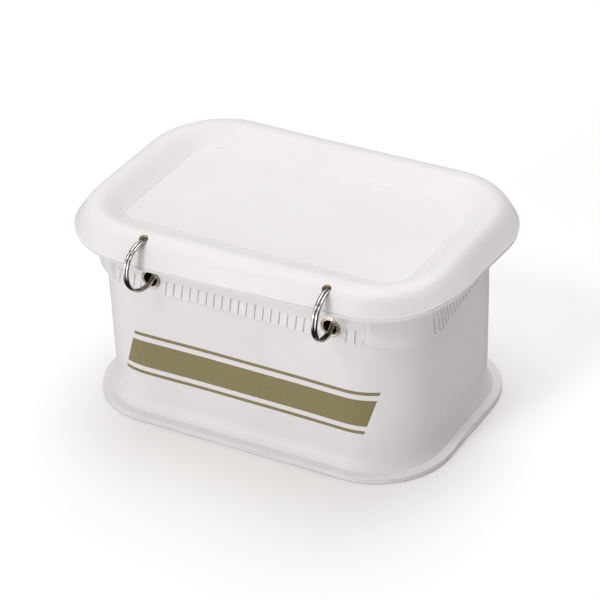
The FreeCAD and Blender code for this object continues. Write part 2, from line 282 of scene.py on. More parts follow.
def cellFoam(name):
    finish = Finish(name, {"Specular IOR Level": foamLook["shine"]})
    pores = finish.cells(foamLook["pores"]["scale"])
    # darker towards each pore's middle, where the bump sinks it: painted shade in the hollows, with a little
    # more roughness
    deep = 1 - pores.ramp(*foamLook["pores"]["range"])
    colour = finish.blend(deep * foamLook["pores"]["share"], foamLook["base"], foamLook["pore"])
    rough = foamLook["rough"]["base"] + deep * foamLook["rough"]["pore"]
    normal = finish.bump(pores, **foamLook["bump"])
    return finish.feed(Base_Color=colour, Roughness=rough, Normal=normal)


# Plain stiffener in the hem
stiffenerLook = {
    "base": (0.62, 0.62, 0.6, 1),
    "mark": (0.5, 0.5, 0.48, 1),
    "cloud": {"scale": 300.0, "detail": 3.0},
    "rough": {"base": 0.4, "mark": 0.2},
}


def plainStiffener(name):
    finish = Finish(name, {})
    cloud = finish.noise(**stiffenerLook["cloud"])
    colour = finish.blend(cloud, stiffenerLook["base"], stiffenerLook["mark"])
    rough = stiffenerLook["rough"]["base"] + cloud * stiffenerLook["rough"]["mark"]
    return finish.feed(Base_Color=colour, Roughness=rough)


wallWhite = whiteSheet("printedWhiteSheet", striped=True)
sheetWhite = whiteSheet("whiteSheet")
ringSteel = brightMetal("ringSteel", "steel")
eyeletNickel = brightMetal("eyeletNickel", "nickel")
lidFoam = cellFoam("lidFoam")
hemStiffener = plainStiffener("hemStiffener")
print("materials made:", len(bpy.data.materials))


# Rounded rectangles: each station has its place on the core rectangle and its outward direction
class Loop:
    def __init__(self, halfX, halfY, radius, step, marks=None):
        self.halfX = halfX
        self.halfY = halfY
        shares = []
        outward = []
        along = []
        sides = []
        done = 0
        for turn in range(4):
            half = halfY if turn % 2 == 0 else halfX
            reach = half + radius * math.pi / 4
            spots = np.linspace(-reach, reach, round(2 * reach / step), endpoint=False)
            if marks:
                spots = np.unique(np.concatenate([spots, marks[turn]]).round(7))
            straight = np.clip(spots, -half, half)
            angle = (spots - straight) / radius + turn * math.pi / 2
            share = np.stack([np.ones_like(spots), straight / half], 1)
            for quarter in range(turn):
                share = np.stack([-share[:, 1], share[:, 0]], 1)
            shares.append(share)
            outward.append(np.stack([np.cos(angle), np.sin(angle)], 1))
            along.append(spots + done + reach)
            sides.append(np.stack([np.full_like(spots, turn), spots], 1))
            done += 2 * reach
        self.share = np.concatenate(shares)
        self.outward = np.concatenate(outward)
        self.along = np.concatenate(along)
        self.side = np.concatenate(sides)
        self.length = done

    def row(self, r, z, scale=1.0, half=None):
        # one ring of points at radius r from the core rectangle
        core = np.array(half or (self.halfX, self.halfY))
        flat = scale * (self.share * core + self.outward * np.reshape(r, (-1, 1)))
        height = np.broadcast_to(z, len(flat))
        return np.column_stack([flat, height])

    def ripple(self, seed, waves):
        # slow unevenness that closes on itself: pairs of wave count and amount
        phase = np.random.default_rng(seed)
        total = np.zeros_like(self.along)
        for count, amount in waves:
            turn = 2 * math.pi * (count * self.along / self.length + phase.random())
            total += amount * np.sin(turn)
        return total


def bezier(a, b, c, d, count):
    t = np.linspace(0, 1, count)[:, None]
    a, b, c, d = (np.array(p) for p in (a, b, c, d))
    return (1 - t) ** 3 * a + 3 * t * (1 - t) ** 2 * b + 3 * t ** 2 * (1 - t) * c + t ** 3 * d


def easedSection(corners, steps=3):
    # closed section of (r, z, ease): each corner is rounded off by its own ease
    points = []
    for i, (r, z, ease) in enumerate(corners):
        here = np.array((r, z))
        if ease == 0:
            points.append(here)
            continue
        before = np.array(corners[i - 1][:2]) - here
        after = np.array(corners[(i + 1) % len(corners)][:2]) - here
        start = here + before / np.linalg.norm(before) * ease
        end = here + after / np.linalg.norm(after) * ease
        for t in np.linspace(0, 1, steps + 1):
            points.append((1 - t) ** 2 * start + 2 * t * (1 - t) * here + t ** 2 * end)
    return np.array(points)


def divided(points, longest):
    # the same closed section with no stretch longer than that
    full = []
    for a, b in zip(points, np.roll(points, -1, axis=0)):
        pieces = max(1, math.ceil(np.linalg.norm(b - a) / longest))
        for i in range(pieces):
            full.append(a + (b - a) * i / pieces)
    return np.array(full)


def smoothStep(value, low, high):
    t = np.clip((value - low) / (high - low), 0, 1)
    return t * t * (3 - 2 * t)


def addMesh(name, points, faces):
    # a mesh with its faces turned outward, in the scene
    mesh = bpy.data.meshes.new(name)
    mesh.from_pydata(points.tolist(), [], faces)
    shape = bmesh.new()
    shape.from_mesh(mesh)
    bmesh.ops.recalc_face_normals(shape, faces=shape.faces)
    shape.to_mesh(mesh)
    shape.free()
    mesh.polygons.foreach_set("use_smooth", [True] * len(mesh.polygons))
    made = bpy.data.objects.new(name, mesh)
    bpy.context.scene.collection.objects.link(made)
    return made


def addPiece(name, points, faces, material, body, nodes):
    piece = addMesh(name, points, faces)
    piece.data.materials.append(material)
    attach(piece, body)
    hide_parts(*nodes)
    return piece


def loftFaces(rows, count, closed):
    faces = []
    pairs = [(i, i + 1) for i in range(rows - 1)]
    if closed:
        pairs.append((rows - 1, 0))
    for a, b in pairs:
        for i in range(count):
            j = (i + 1) % count
            faces.append((a * count + i, a * count + j, b * count + j, b * count + i))
    return faces


def lofted(rows, closed=True):
    # closed goes round the section, otherwise the first and last rows are capped by a fan
    count = len(rows[0])
    points = np.concatenate(rows)
    faces = loftFaces(len(rows), count, closed)
    if not closed:
        for first in (0, len(rows) - 1):
            tip = len(points)
            points = np.vstack([points, rows[first].mean(axis=0)])
            for i in range(count):
                faces.append((first * count + i, first * count + (i + 1) % count, tip))
    return points, faces


def cutAway(piece, cutters):
    # takes the cutters out of the piece's mesh for good
    for cutter in cutters:
        tool = piece.modifiers.new("cut", "BOOLEAN")
        tool.operation = "DIFFERENCE"
        tool.solver = "EXACT"
        tool.object = cutter
    bpy.context.view_layer.update()
    ready = piece.evaluated_get(bpy.context.evaluated_depsgraph_get())
    mesh = bpy.data.meshes.new_from_object(ready)
    piece.modifiers.clear()
    piece.data = mesh
    mesh.polygons.foreach_set("use_smooth", [True] * len(mesh.polygons))
    for cutter in cutters:
        bpy.data.objects.remove(cutter)


def turned(profile, centre, axis, count, closed=True):
    # points (r, h) turned about an axis through centre, h along the axis
    axis = Vector(axis).normalized()
    side = axis.orthogonal().normalized()
    other = axis.cross(side)
    angle = np.linspace(0, 2 * math.pi, count, endpoint=False)
    rows = []
    for r, h in profile:
        flat = np.outer(np.cos(angle), side) + np.outer(np.sin(angle), other)
        rows.append(np.array(centre) + np.array(axis) * h + flat * r)
    return lofted(rows, closed)


def drill(centre, axis, radius, length, count=64):
    profile = [(radius, -length / 2), (radius, length / 2)]
    return addMesh("cutter", *turned(profile, centre, axis, count, closed=False))


def keepEdges(piece, angle=40):
    # hard edges stay hard, and wide flat faces keep their own direction
    shape = bmesh.new()
    shape.from_mesh(piece.data)
    for edge in shape.edges:
        if len(edge.link_faces) == 2:
            edge.smooth = edge.calc_face_angle(0) < math.radians(angle)
    shape.to_mesh(piece.data)
    shape.free()
    steady = piece.modifiers.new("steadyNormals", "WEIGHTED_NORMAL")
    steady.keep_sharp = True


# Sizes that the pieces share, read from the frame
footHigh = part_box("floor_sheet")[1]
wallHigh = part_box("wall_sheet")[1]
hemLow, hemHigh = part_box("rim_hem")
lidLow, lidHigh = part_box("lid_cover")
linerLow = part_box("lid_liner")[0]
mouthZ = hemHigh.z
boxShape = {
    "flangeR": 0.0385,
    "footR": 0.031,
    "lean": 0.001,
    "wall": 0.0018,
    "seam": 0.00005,
    "boreR": 0.0039,          # holes for the eyelets
    "boreLength": 0.03,
}
coreX = footHigh.x - boxShape["flangeR"]
coreY = footHigh.y - boxShape["flangeR"]
wallR = boxShape["footR"] + boxShape["lean"]
wallInR = wallR - boxShape["wall"]
sides = ("left", "right")
eyelets = {}
ringCentres = {}
ringAxes = {}
for side in sides:
    low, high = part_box("eyelet_" + side)
    eyelets[side] = (low + high) / 2
    spin = joints["ring_" + side + "_spin"]
    ringCentres[side] = Vector(spin["pos_m"])
    ringAxes[side] = Vector(spin["axis"]).normalized()


def boreEyelets(piece):
    ways = [drill(eyelets[side], (0, 1, 0), boxShape["boreR"], boxShape["boreLength"]) for side in sides]
    cutAway(piece, ways)
    keepEdges(piece)


# Bottom sheet: its edge wavers a little, apart from the flange above it
floorShape = {
    "edge": 0.0004,
    "rimWide": 0.003,         # only this rim wavers
    "ringShares": (0.05, 0.3, 0.6, 0.85),
    "step": 0.0025,
    "waver": {"seed": 3, "waves": ((3, 0.0002), (7, 0.00016), (13, 0.0001))},
}


def makeFloor():
    loop = Loop(coreX, coreY, boxShape["flangeR"], floorShape["step"])
    waver = loop.ripple(**floorShape["waver"])
    r = boxShape["flangeR"]
    rimR = r - floorShape["rimWide"]
    ease = floorShape["edge"]
    top = footHigh.z
    shares = floorShape["ringShares"]
    rows = [loop.row(r, 0, share) for share in shares]
    for pointR, pointZ in easedSection([(rimR, 0, 0), (r, 0, ease), (r, top, ease), (rimR, top, 0)]):
        rows.append(loop.row(pointR + waver * smoothStep(pointR, rimR, r), pointZ))
    rows += [loop.row(r, top, share) for share in shares[::-1]]
    points, faces = lofted(rows, closed=False)
    addPiece("bottomSheet", points, faces, sheetWhite, "box", ["floor_sheet"])


# Wall: one soft sheet with a flared foot
wallShape = {
    "flangeT": 0.0014,
    "weldLand": 0.0044,
    "flareHeight": 0.0075,
    "flareSteps": 12,
    "edge": 0.0004,
    "step": 0.0025,
    "longest": 0.003,
    "sway": {"seed": 11, "waves": ((2, 0.00022), (5, 0.00018), (9, 0.0001))},
    "swayFade": {"foot": 0.012, "hem": 0.022},   # it dies away towards the foot and the hem
    "waver": {"seed": 12, "waves": ((4, 0.00022), (9, 0.00018), (17, 0.0001))},
    "waverFrom": 0.002,
}


def makeWall():
    loop = Loop(coreX, coreY, wallR, wallShape["step"])
    low = footHigh.z
    land = low + wallShape["flangeT"]
    flareTop = land + wallShape["flareHeight"]
    footR = boxShape["footR"]
    run = boxShape["flangeR"] - footR - wallShape["weldLand"]
    flareR = (run ** 2 + wallShape["flareHeight"] ** 2) / (2 * run)
    outerFlare = []
    innerFlare = []
    for drop in np.linspace(1, 0, wallShape["flareSteps"]):
        fall = drop * wallShape["flareHeight"]
        outerFlare.append((footR + flareR - math.sqrt(flareR ** 2 - fall ** 2), flareTop - fall, 0))
        fall = (1 - drop) * (flareTop - low)
        backR = flareR + boxShape["wall"]
        innerFlare.append((footR + flareR - math.sqrt(backR ** 2 - fall ** 2), flareTop - fall, 0))
    ease = wallShape["edge"]
    corners = [(boxShape["flangeR"], low, ease), (boxShape["flangeR"], land, ease)] + outerFlare
    corners += [(wallR, hemLow.z, 0), (wallR, wallHigh.z, ease), (wallInR, wallHigh.z, ease)]
    corners += [(wallInR, hemLow.z, 0)] + innerFlare
    section = divided(easedSection(corners), wallShape["longest"])
    sway = loop.ripple(**wallShape["sway"])
    waver = loop.ripple(**wallShape["waver"])
    fade = wallShape["swayFade"]
    rows = []
    for r, z in section:
        belly = smoothStep(z, land, flareTop + fade["foot"])
        belly *= 1 - smoothStep(z, hemLow.z - fade["hem"], hemLow.z)
        rim = smoothStep(r, footR + wallShape["waverFrom"], boxShape["flangeR"])
        rows.append(loop.row(r + sway * belly + waver * rim, z))
    points, faces = lofted(rows)
    boreEyelets(addPiece("wallSheet", points, faces, wallWhite, "box", ["wall_sheet"]))


# Hem folded over the mouth, with weld ribs on the sides and puffy corners
hemShape = {
    "t": 0.00185,
    "innerT": 0.0013,
    "innerH": 0.0055,
    "capT": 0.0014,
    "outerFold": 0.0016,
    "innerFold": 0.001,
    "drop": 0.0175,
    "edge": 0.00032,
    "swell": 0.0003,
    "swellDrop": 0.0036,
    "ribPitch": {"long": 0.0043, "short": 0.003},
    "grooveShift": {"long": 0.0012, "short": 0.0},
    "bandEnd": {"long": 0.002, "short": 0.0},
    "ribH": {"long": 0.0066, "short": 0.0115},
    "ribGap": {"long": 0.00055, "short": 0.0008},
    "bandIn": {"long": 0.0008, "short": 0.0007},    # the ribbed band's top is pressed in this far
    "bandOut": {"long": 0.0011, "short": 0.0013},    # and its lower edge stands out this far
    "grooveDeep": {"long": 0.0008, "short": 0.0011},
    "ribMargin": 0.0005,
    "ribEdge": 0.00012,
    "eyeletRoom": 0.0057,
    "cornerInset": {"long": math.radians(21.5), "short": math.radians(11)},
    "cornerT": 0.0026,
    "cornerBulge": 0.0041,
    "cornerDrop": 0.0045,
    "cornerStep": 0.001,
    "cornerFade": (0.5, 0.5, 0.85, 0.5),   # from here towards the short side the puff dies away
    # how far the lower edge hangs below its place, and the corner after each side, at its middle
    "hang": {"rightFront": 0.0027, "rightBack": -0.0025, "left": 0.0012, "long": 0.0},
    "hangFrom": (-0.031, 0.022),
    "cornerHang": (0.0, 0.0006, 0.0008, 0.0016),
    "step": 0.002,
    "waver": {"seed": 21, "waves": ((6, 0.00008), (15, 0.00006), (31, 0.00005))},
    "uneven": {"seed": 5, "place": 0.00006, "width": 0.06},   # the grooves differ this much
    "ribRowShares": (0.15, 0.32, 0.49, 0.66, 0.83, 1.0),
    "plainRows": 10,
    "foldRows": {"outer": 7, "inner": 6},
}


def hemSide(turn):
    # half length of a side, and its kind
    return (coreY, "short") if turn % 2 == 0 else (coreX, "long")


def groovePlaces(legR):
    # place and half width of each groove between the ribs, counted from the middle of its side
    uneven = hemShape["uneven"]
    draw = np.random.default_rng(uneven["seed"])
    places = []
    for turn in range(4):
        half, kind = hemSide(turn)
        pitch = hemShape["ribPitch"][kind]
        reach = half + legR * hemShape["cornerInset"][kind] - hemShape["bandEnd"][kind]
        count = int(reach / pitch) + 1
        grooves = []
        for place in range(-count, count + 1):
            middle = hemShape["grooveShift"][kind] + place * pitch + draw.normal(0, uneven["place"])
            halfW = hemShape["ribGap"][kind] / 2 * (1 + draw.normal(0, uneven["width"]))
            room = hemShape["eyeletRoom"] + halfW
            atEyelet = turn == 3 and any(abs(middle - eyelets[side].x) < room for side in sides)
            if abs(middle) <= reach and not atEyelet:
                grooves.append((middle, halfW))
        places.append(grooves)
    return places


def hemMarks(legR, grooves):
    # stations on each side where the hem steps
    edge = hemShape["ribEdge"]
    marks = []
    for turn in range(4):
        half, kind = hemSide(turn)
        corner = half + legR * hemShape["cornerInset"][kind]
        spots = [s * (corner + d) for s in (-1, 1) for d in (0, hemShape["cornerStep"])]
        ends = [s * (corner - hemShape["bandEnd"][kind]) for s in (-1, 1)]
        if turn == 3:
            ends += [eyelets[side].x + s * hemShape["eyeletRoom"] for side in sides for s in (-1, 1)]
        spots += [end + d for end in ends for d in (-2 * edge, 0, 2 * edge)]
        for middle, halfW in grooves[turn]:
            spots += [middle + s * (halfW + d) for s in (-1, 1) for d in (-edge, 0, edge, 5 * edge)]
        marks.append(spots)
    return marks


def hemCourse(loop, legR, grooves):
    # what changes along the hem: the ribbed band, its grooves, the puffy corners and the lower edge
    edge = hemShape["ribEdge"]
    turn, spot = loop.side[:, 0], loop.side[:, 1]
    band, groove, puff, hang, ribH, bandIn, bandOut, deep = np.zeros((8, len(spot)))
    sideHang = hemShape["hang"]
    endHang = {0: (sideHang["rightFront"], sideHang["rightBack"]), 2: (sideHang["left"], sideHang["left"])}
    for i in range(4):
        here = turn == i
        half, kind = hemSide(i)
        ribH = np.where(here, hemShape["ribH"][kind], ribH)
        bandIn = np.where(here, hemShape["bandIn"][kind], bandIn)
        bandOut = np.where(here, hemShape["bandOut"][kind], bandOut)
        deep = np.where(here, hemShape["grooveDeep"][kind], deep)
        end = half + legR * hemShape["cornerInset"][kind] - hemShape["bandEnd"][kind]
        mine = 1 - smoothStep(np.abs(spot), end - 2 * edge, end + 2 * edge)
        if i == 3:
            for side in sides:
                away = np.abs(spot - eyelets[side].x) - hemShape["eyeletRoom"]
                mine = mine * smoothStep(away, -2 * edge, 2 * edge)
        band = np.where(here, mine, band)
        for middle, halfW in grooves[i]:
            cut = 1 - smoothStep(np.abs(spot - middle), halfW - edge, halfW + edge)
            groove = np.where(here, np.maximum(groove, cut), groove)
        corner = half + legR * hemShape["cornerInset"][kind]
        past = np.abs(spot) - corner
        puff = np.where(here, smoothStep(past, 0, hemShape["cornerStep"]), puff)
        # across a corner the lower edge goes from one side's height to the next one's
        first, last = endHang.get(i, (sideHang["long"], sideHang["long"]))
        along = first + (last - first) * smoothStep(spot, *hemShape["hangFrom"])
        reach = half + legR * math.pi / 4
        for way, after in ((1, (i + 1) % 4), (-1, (i - 1) % 4)):
            otherArc = legR * (math.pi / 4 - hemShape["cornerInset"][hemSide(after)[1]])
            share = np.clip(past / (reach - corner + otherArc), 0, 1)
            other = endHang.get(after, (sideHang["long"], sideHang["long"]))[0 if way == 1 else 1]
            middleHang = hemShape["cornerHang"][i if way == 1 else after]
            level = along + (other - along) * smoothStep(share, 0, 1) + middleHang * 4 * share * (1 - share)
            mine = here & (way * spot >= 0)
            hang = np.where(mine, level, hang)
            toShort = share if kind == "long" else 1 - share
            fade = hemShape["cornerFade"][i if way == 1 else after]
            puff = np.where(mine, puff * (1 - smoothStep(toShort, fade, 1)), puff)
    return band, groove, puff, hang, ribH, bandIn, bandOut, deep


def makeHem():
    legIn = wallR + boxShape["seam"]
    legR = legIn + hemShape["t"]
    edge = hemShape["ribEdge"]
    grooves = groovePlaces(legR)
    loop = Loop(coreX, coreY, legR, hemShape["step"], hemMarks(legR, grooves))
    band, groove, puff, hang, ribH, bandIn, bandOut, deep = hemCourse(loop, legR, grooves)
    low = mouthZ - hemShape["drop"] - hang
    fold = mouthZ - hemShape["outerFold"]
    ribLow = low + hemShape["ribMargin"]
    ribTop = ribLow + ribH
    swellTop = mouthZ - hemShape["swellDrop"]
    puffTop = mouthZ - hemShape["cornerDrop"]
    waver = loop.ripple(**hemShape["waver"])

    def legRow(z, extra=0.0):
        swell = np.sin(np.pi * np.clip((z - ribTop) / (swellTop - ribTop), 0, 1)) * hemShape["swell"]
        face = bandOut - (bandIn + bandOut) * np.clip((z - low) / (ribTop - low), 0, 1)
        inBand = band * (1 - smoothStep(z, ribTop, ribTop + 2 * edge))
        inGroove = smoothStep(z, ribLow - edge, ribLow + edge)
        inGroove = inGroove * (1 - smoothStep(z, ribTop - edge, ribTop + edge))
        t = np.clip((z - low) / (puffTop - low), 0, 1)
        base = legIn + hemShape["cornerT"] * (1 - t) + hemShape["t"] * t
        bulge = wallR + hemShape["cornerBulge"] - legIn - hemShape["cornerT"]
        puffR = base + bulge * 4 * t * (1 - t)
        plain = legR + swell + inBand * face - band * groove * inGroove * deep
        return loop.row(plain * (1 - puff) + puffR * puff + waver + extra, z)

    ease = hemShape["edge"]
    inner = wallInR - boxShape["seam"]
    mouthR = inner - hemShape["innerT"]
    innerZ = mouthZ - hemShape["innerH"]
    capZ = mouthZ - hemShape["capT"]
    heights = [low + ease, ribLow - edge, ribLow, ribLow + edge]
    heights += [ribLow + edge + (ribTop - ribLow - 2 * edge) * t for t in hemShape["ribRowShares"]]
    bandTop = ribTop + 2 * edge
    heights += [ribTop, ribTop + edge]
    heights += [bandTop + (fold - bandTop) * t for t in np.linspace(0, 1, hemShape["plainRows"])]
    rows = [loop.row(legIn, low), legRow(low, -ease)]
    rows += [legRow(z) for z in heights]
    bend = hemShape["outerFold"]
    for angle in np.linspace(0, math.pi / 2, hemShape["foldRows"]["outer"])[1:]:
        rows.append(loop.row(legR - bend + bend * math.cos(angle) + waver, fold + bend * math.sin(angle)))
    bend = hemShape["innerFold"]
    for angle in np.linspace(math.pi / 2, math.pi, hemShape["foldRows"]["inner"]):
        rows.append(loop.row(mouthR + bend + bend * math.cos(angle), mouthZ - bend + bend * math.sin(angle)))
    for r, z in ((mouthR, innerZ), (inner, innerZ), (inner, capZ), (legIn, capZ)):
        rows.append(loop.row(r, z))
    points, faces = lofted(rows)
    boreEyelets(addPiece("rimHem", points, faces, sheetWhite, "box", ["rim_hem"]))


# Strip over the wall's joint at the back, with its two weld lines
stripShape = {
    "edgeWide": 0.0009,
    "edgeShare": 0.55,        # thickness left at the very edge
    "weldIn": 0.0035,
    "weldW": 0.0008,
    "weldD": 0.00022,
    "weldShare": 0.6,         # the weld's depth goes up and down from this share to all of it
    "weldPitch": 0.0011,
    "cells": (44, 60),
}


def makeStrip():
    low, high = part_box("rear_seam_strip")
    lean = boxShape["lean"] / (hemLow.z - (footHigh.z + wallShape["flangeT"] + wallShape["flareHeight"]))
    thick = high.y - low.y - lean * (high.z - low.z)
    across = np.linspace(low.x, high.x, stripShape["cells"][0])
    upward = np.linspace(low.z, high.z, stripShape["cells"][1])
    x, z = np.meshgrid(across, upward)
    inset = np.minimum(np.minimum(x - low.x, high.x - x), np.minimum(z - low.z, high.z - z))
    ease = smoothStep(inset, 0, stripShape["edgeWide"])
    weld = np.abs(np.minimum(x - low.x, high.x - x) - stripShape["weldIn"])
    groove = 1 - smoothStep(weld, 0, stripShape["weldW"])
    ripple = 0.5 + 0.5 * np.sin(z / stripShape["weldPitch"])
    edgeShare, weldShare = stripShape["edgeShare"], stripShape["weldShare"]
    back = low.y + lean * (z - low.z)
    front = back + thick * (edgeShare + (1 - edgeShare) * ease)
    front -= groove * stripShape["weldD"] * (weldShare + (1 - weldShare) * ripple)
    points = np.concatenate([np.stack([x, y, z], -1).reshape(-1, 3) for y in (back, front)])
    wide, tall = stripShape["cells"]
    faces = []
    for layer in (0, wide * tall):
        for j in range(tall - 1):
            for i in range(wide - 1):
                a = layer + j * wide + i
                faces.append((a, a + 1, a + wide + 1, a + wide))
    rim = list(range(wide)) + [j * wide + wide - 1 for j in range(1, tall)]
    rim += [(tall - 1) * wide + i for i in range(wide - 2, -1, -1)]
    rim += [j * wide for j in range(tall - 2, 0, -1)]
    for a, b in zip(rim, rim[1:] + rim[:1]):
        faces.append((a, b, b + wide * tall, a + wide * tall))
    strip = addPiece("rearSeamStrip", points, faces, sheetWhite, "box", ["rear_seam_strip"])
    keepEdges(strip)


# Lid: a formed cover with a round rim and a sunk panel
lidShape = {
    "cornerR": 0.0413,
    "skin": 0.0022,
    "lipH": 0.0009,
    "lipT": 0.0005,
    "lipSeen": 0.0004,
    "lipTuck": 0.0003,
    "lipRound": 0.0002,
    "lipGap": 0.00002,
    "domeReach": 0.0116,
    "rimFall": 0.0142,
    "panelDrop": 0.0062,
    "panelSlope": math.tan(math.radians(24)),
    # the panel's edge lies this much further in
    "panelIn": {"right": -0.0008, "back": 0.0014, "left": 0.0008, "front": 0.0016},
    # the rim's outside is straight up to this share of its height, and flatter at the ends
    "flank": {
        "long": {"lean": math.tan(math.radians(20)), "share": 0.5, "ease": 0.6, "domeEase": 0.56},
        "short": {"lean": math.tan(math.radians(37)), "share": 0.3, "ease": 0.55, "domeEase": 0.5},
    },
    "crownEase": 0.3,
    "slopeEase": 0.4,
    "panelCornerR": {"leftFront": 0.0075, "others": 0.0125},
    # the panel's edge line, and a faint second one inside it
    "crease": {"in": 0.00025, "deep": 0.00022, "wide": 0.0005, "rowShares": (0, 0.5, 1, 1.5)},
    "border": {"in": 0.0042, "deep": 0.00007, "wide": 0.0005, "rowShares": (-1, -0.5, 0, 0.5, 1)},
    "lineSharp": 3,
    "dish": 0.00025,
    "dishShare": 0.6,
    "panelShares": (0.97, 0.92, 0.85, 0.75, 0.62, 0.48, 0.34, 0.2, 0.08),
    "underShares": (0.03, 0.25, 0.5, 0.75, 0.95),
    "edge": 0.0003,
    "holeR": 0.0023,
    "holeLength": 0.01,
    "holeSteps": 200,
    "holeShift": {"left": -0.0008, "right": -0.0001},
    "passageSteps": {"along": 96, "round": 24},
    "curvePoints": 22,
    "step": 0.0018,
    "sway": {"seed": 31, "waves": ((2, 0.00025), (5, 0.0002), (8, 0.00012))},
    "lift": {"seed": 32, "waves": ((3, 0.0002), (6, 0.00015), (11, 0.00008))},
    # in from the lip: from here inward the underside is level, and from here outward it follows the edge
    "brim": {"level": 0.0067, "free": 0.0027},
    "crownShare": 0.35,       # the crown's part in the edge's rise
    "riseIn": 0.004,
    # the soft edge's rise, by the way along it from the middle of the right front corner
    "edgeRise": (
        (-0.23, 0.0), (-0.18, -0.0012), (-0.14, -0.0022), (-0.107, -0.0011), (-0.066, -0.0001),
        (-0.03, 0.001), (0.0, 0.0015), (0.02, 0.0028), (0.048, 0.0009), (0.085, -0.0012), (0.14, 0.0),
    ),
}
lidCoreX = lidHigh.x - lidShape["cornerR"]
lidCoreY = lidHigh.y - lidShape["cornerR"]
crownZ = lidHigh.z
linerTop = lidLow.z
domeZ = linerTop + lidShape["lipH"]
domeR = lidShape["cornerR"] - lidShape["lipT"]
lipR = domeR + lidShape["lipSeen"]
crownR = domeR - lidShape["domeReach"]
panelR = crownR - lidShape["rimFall"]
panelZ = crownZ - lidShape["panelDrop"]


def rimCurve(depth, kind, count=lidShape["curvePoints"]):
    # from the lip over the crown to the panel, that far below the outer surface
    slope = lidShape["panelSlope"]
    creaseR = panelR + depth * math.tan(math.atan(slope) / 2)
    foot = np.array((domeR - depth, domeZ))
    crown = np.array((crownR, crownZ - depth))
    crease = np.array((creaseR, panelZ - depth))
    fall = crownR - creaseR
    flank = lidShape["flank"][kind]
    flankH = flank["share"] * (crown[1] - domeZ)
    lean = np.array((-flank["lean"], 1))
    bendFrom = foot + lean * flankH
    side = [foot + lean * flankH * t for t in np.linspace(0, 1, count // 3, endpoint=False)]
    bendEase = lean * flank["ease"] * (crown[1] - bendFrom[1])
    domeEase = (flank["domeEase"] * (bendFrom[0] - crownR), 0)
    slopeEase = lidShape["slopeEase"] * fall
    over = bezier(bendFrom, bendFrom + bendEase, crown + domeEase, crown, count - count // 3)
    dome = np.concatenate([side, over])
    bend = (slopeEase, slopeEase * slope)
    inner = bezier(crown, crown - (lidShape["crownEase"] * fall, 0), crease + bend, crease, count)
    return np.concatenate([dome, inner[1:]])


def rimRows(loop, depth):
    # the same round the whole loop: each row's radius and height
    ends = loop.outward[:, 0] ** 2
    for (r, z), (endR, endZ) in zip(rimCurve(depth, "long"), rimCurve(depth, "short")):
        yield r + (endR - r) * ends, z + (endZ - z) * ends


def ringRadius(side):
    # middle of the wire, from the ring's size in the frame
    low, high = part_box("ring_" + side)
    return (high.z - low.z) / 2 - ringShape["wire"] / 2


def holePlace(side):
    # where the ring crosses the middle of the skin, and the way out there
    steps = lidShape["holeSteps"]
    curve = rimCurve(lidShape["skin"] / 2, "long", steps)[:steps]
    centre = ringCentres[side]
    y = -lidCoreY - curve[:, 0]
    curve[:, 1] += lidRise(curve[:, 0], edgeRise(centre.x - lidCoreX - lidShape["cornerR"] * math.pi / 4))
    reach = np.hypot(y - centre.y, curve[:, 1] - centre.z)
    i = int(np.argmin(np.abs(reach - ringRadius(side))))
    along = curve[i + 1] - curve[i - 1]
    out = Vector((0, -along[1], -along[0])).normalized()
    x = centre.x + lidShape["holeShift"][side]
    return Vector((x, y[i], curve[i, 1])), out if out.z > 0 else -out


def torusCutter(side, reach):
    angle = np.linspace(0, 2 * math.pi, lidShape["passageSteps"]["round"], endpoint=False)
    radius = ringRadius(side)
    profile = [(radius + reach * math.cos(a), reach * math.sin(a)) for a in angle]
    centre = ringCentres[side] + Vector((lidShape["holeShift"][side], 0, 0))
    return addMesh("cutter", *turned(profile, centre, (1, 0, 0), lidShape["passageSteps"]["along"]))


def edgeRise(away):
    places, rises = np.array(lidShape["edgeRise"]).T
    i = np.clip(np.searchsorted(places, away) - 1, 0, len(places) - 2)
    return rises[i] + (rises[i + 1] - rises[i]) * smoothStep(away, places[i], places[i + 1])


def lidCurl(loop):
    # how far the lid's edge stands up or hangs down round the loop
    return edgeRise(np.where(loop.along > loop.length / 2, loop.along - loop.length, loop.along))


def brimShare(r):
    # the lid's underside stays level over the hem and follows the edge outside it
    return smoothStep(r, lipR - lidShape["brim"]["level"], lipR - lidShape["brim"]["free"])


def lidRise(r, curl):
    # share of that at radius r: all of it at the edge, a third on the crown, none on the panel
    crown = lidShape["crownShare"]
    inner = smoothStep(r, panelR - lidShape["riseIn"], crownR)
    return curl * (crown * inner + (1 - crown) * smoothStep(r, crownR, domeR))


def squareCorner(loop, outer, inner):
    # what brings a corner of radius outer out to one of radius inner
    angle = np.arctan2(loop.outward[:, 1], loop.outward[:, 0]) % (math.pi / 2)
    angle = np.minimum(angle, math.pi / 2 - angle)
    shift = outer - inner
    straight = outer / np.cos(angle)
    bend = np.sqrt(np.maximum(inner ** 2 - shift ** 2 * (1 - np.sin(2 * angle)), 0))
    turn = shift * (np.cos(angle) + np.sin(angle)) + bend
    return np.where(outer * np.tan(angle) <= shift, straight, turn) - outer


